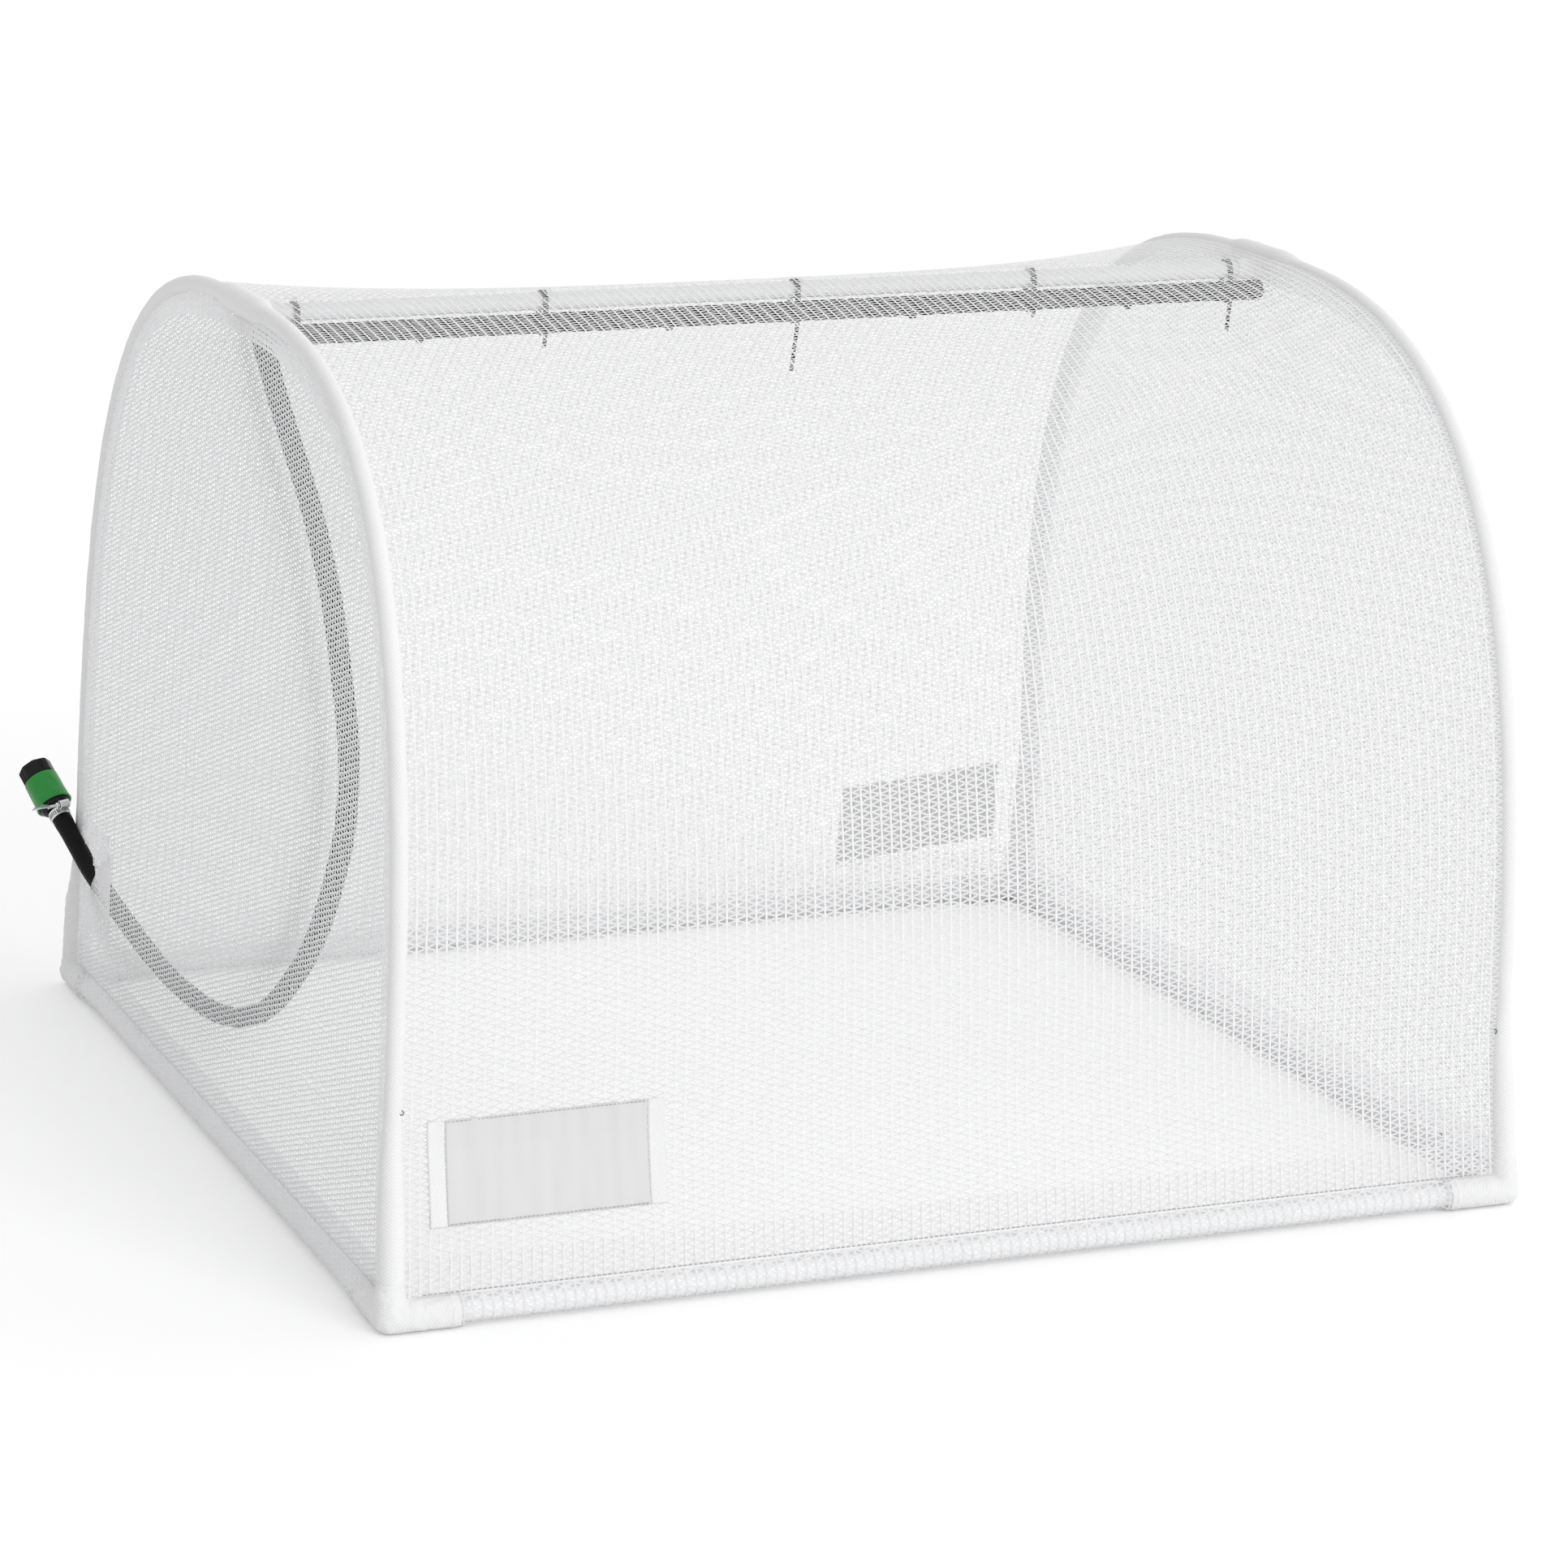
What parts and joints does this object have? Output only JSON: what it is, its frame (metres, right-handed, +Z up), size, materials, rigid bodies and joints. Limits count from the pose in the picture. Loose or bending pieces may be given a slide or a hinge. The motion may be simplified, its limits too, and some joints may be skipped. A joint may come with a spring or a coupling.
{
  "type": "hooped mesh garden bed cover",
  "caption": "Rounded mesh cover on a hooped frame that stands over a garden bed, with a misting hose tied under its ridge pole and a supply hose that ends in a quick connector.",
  "frame": {"origin": "on the ground, under the middle of the base frame", "axes": "+X along the front from left to right, +Y from front to rear, +Z up"},
  "size_m": [1.0599, 1.1025, 0.7563],
  "materials": {
    "white_plastic": "smooth moulded and extruded plastic, satin",
    "white_mesh": "fine warp-knitted polyester netting, matt",
    "white_tape": "woven binding tape and piping, matt, stitched",
    "grey_label": "bare sewn-on label, satin",
    "black_hose": "flexible hose with a satin skin",
    "black_plastic": "moulded, satin",
    "green_plastic": "moulded, glossy",
    "black_rubber": "moulded seal, matt",
    "stainless_steel": "pressed stainless steel, bright edges"
  },
  "bodies": {
    "cover": {"corner_elbow_front_left": "white_plastic", "corner_elbow_front_right": "white_plastic", "corner_elbow_rear_left": "white_plastic", "corner_elbow_rear_right": "white_plastic", "base_rail_front": "white_plastic", "base_rail_rear": "white_plastic", "base_rail_left": "white_plastic", "base_rail_right": "white_plastic", "hoop_rod_left_front": "white_plastic", "hoop_rod_left_rear": "white_plastic", "hoop_rod_right_front": "white_plastic", "hoop_rod_right_rear": "white_plastic", "ridge_tee_left": "white_plastic", "ridge_tee_right": "white_plastic", "ridge_pole": "white_plastic", "mesh_sheet": "white_mesh", "end_panel_left": "white_mesh", "end_panel_right": "white_mesh", "hem_pocket_front": "white_mesh", "hem_pocket_rear": "white_mesh", "hem_pocket_left": "white_mesh", "hem_pocket_right": "white_mesh", "hem_tape_front": "white_tape", "hem_tape_rear": "white_tape", "hem_tape_left": "white_tape", "hem_tape_right": "white_tape", "hoop_sleeve_left": "white_tape", "hoop_sleeve_right": "white_tape", "slit_flap": "white_tape", "front_label": "grey_label", "rear_label": "grey_label", "label_tape_left": "white_tape", "label_tape_right": "white_tape", "mist_hose": "black_hose", "hose_end_plug": "black_plastic", "mist_jet_1": "black_plastic", "mist_jet_2": "black_plastic", "mist_jet_3": "black_plastic", "mist_jet_4": "black_plastic", "cable_tie_1": "black_plastic", "cable_tie_2": "black_plastic", "cable_tie_3": "black_plastic", "cable_tie_4": "black_plastic", "cable_tie_5": "black_plastic", "hose_elbow": "black_plastic", "drop_hose": "black_hose", "clamp_band": "stainless_steel", "clamp_housing": "stainless_steel", "connector_body": "black_plastic"},
    "collar": {"release_collar": "green_plastic"},
    "adaptor": {"tap_adaptor": "black_plastic", "adaptor_o_ring": "black_rubber", "adaptor_washer": "black_rubber"},
    "screw": {"clamp_screw": "stainless_steel"}
  },
  "joints": [
    {"name": "collar_pull", "type": "slide", "parent": "cover", "child": "collar", "axis": [0.2459, -0.7228, -0.6458], "range_m": [0, 0.0045], "stiffness_N_per_m": 800, "springref_m": -0.004},
    {"name": "adaptor_turn", "type": "hinge", "parent": "cover", "child": "adaptor", "pos_m": [-0.51476, 0.51787, 0.17535], "axis": [-0.2459, 0.7228, 0.6458], "continuous": true},
    {"name": "clamp_screw_turn", "type": "hinge", "parent": "cover", "child": "screw", "pos_m": [-0.51169, 0.50494, 0.18479], "axis": [-0.9603, -0.2724, -0.0608], "continuous": true}
  ]
}
